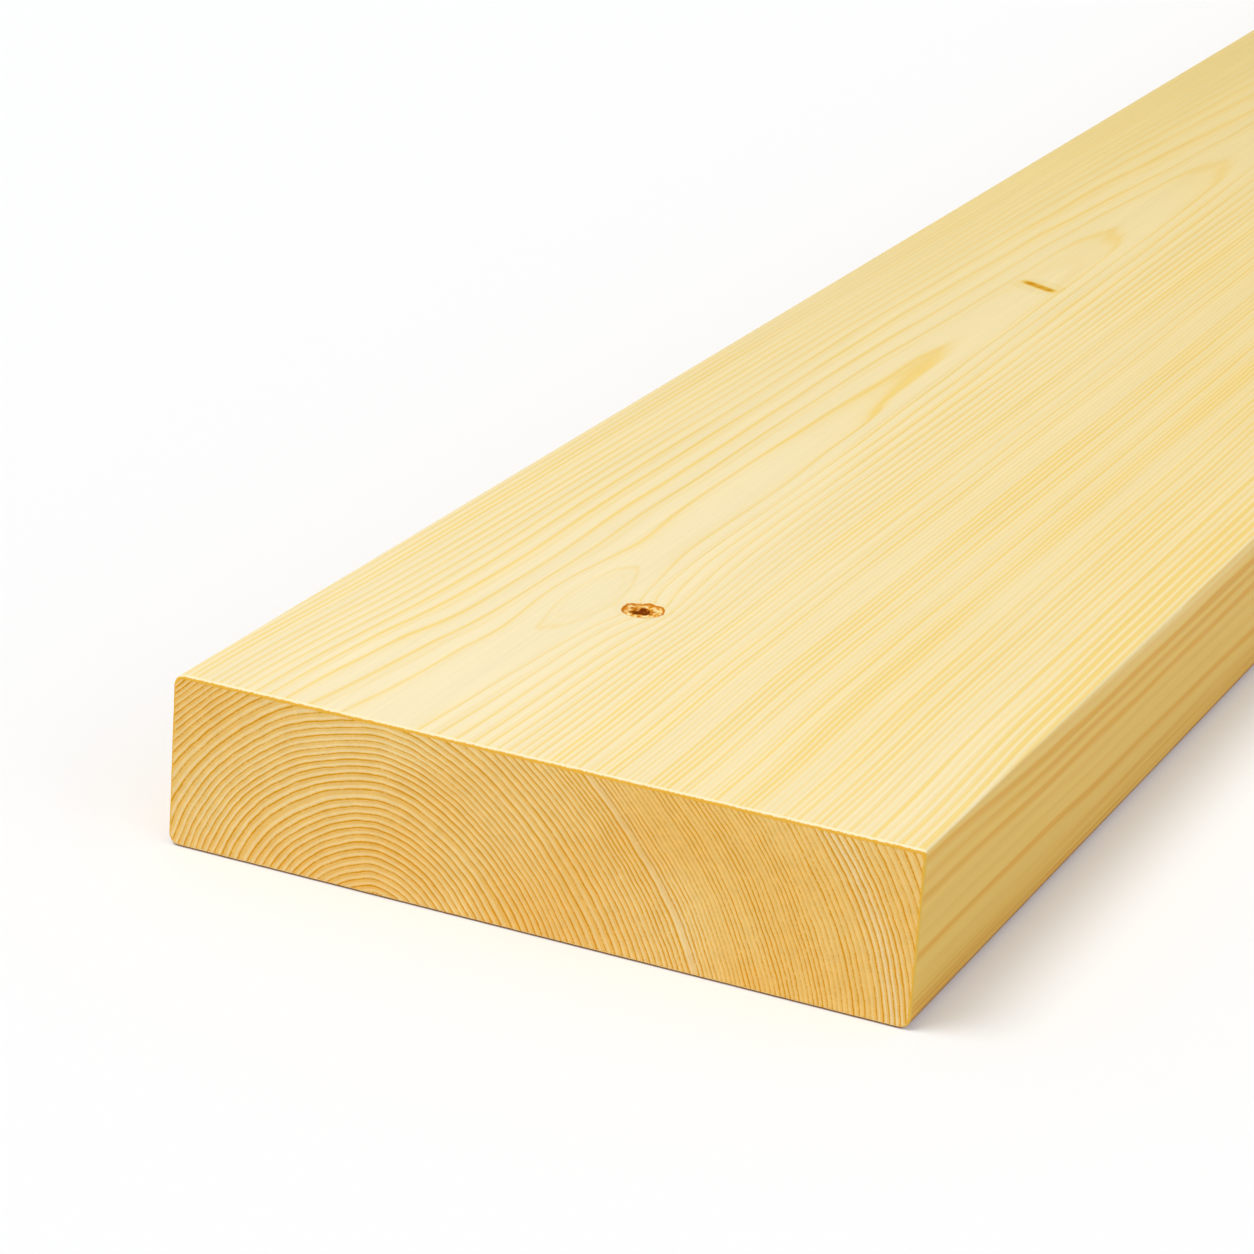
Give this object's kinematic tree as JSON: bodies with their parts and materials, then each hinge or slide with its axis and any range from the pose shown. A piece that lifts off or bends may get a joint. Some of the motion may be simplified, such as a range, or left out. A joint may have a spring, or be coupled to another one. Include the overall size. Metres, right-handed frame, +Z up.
{
  "type": "timber plank",
  "caption": "Planed softwood plank of 45 by 195 mm section with rounded arrises and square-sawn ends, for joists, rafters and general framing.",
  "frame": {"origin": "middle of the underside, halfway along the length, on the floor that the plank lies on", "axes": "+X across the wide face, +Y along the grain from the end nearer the knot to the other end, +Z up out of the face with the knot"},
  "size_m": [0.195, 2.4, 0.045],
  "materials": {
    "timber": "planed softwood with sawn ends, unfinished and matt"
  },
  "bodies": {
    "root": {"plank": "timber"}
  },
  "joints": []
}
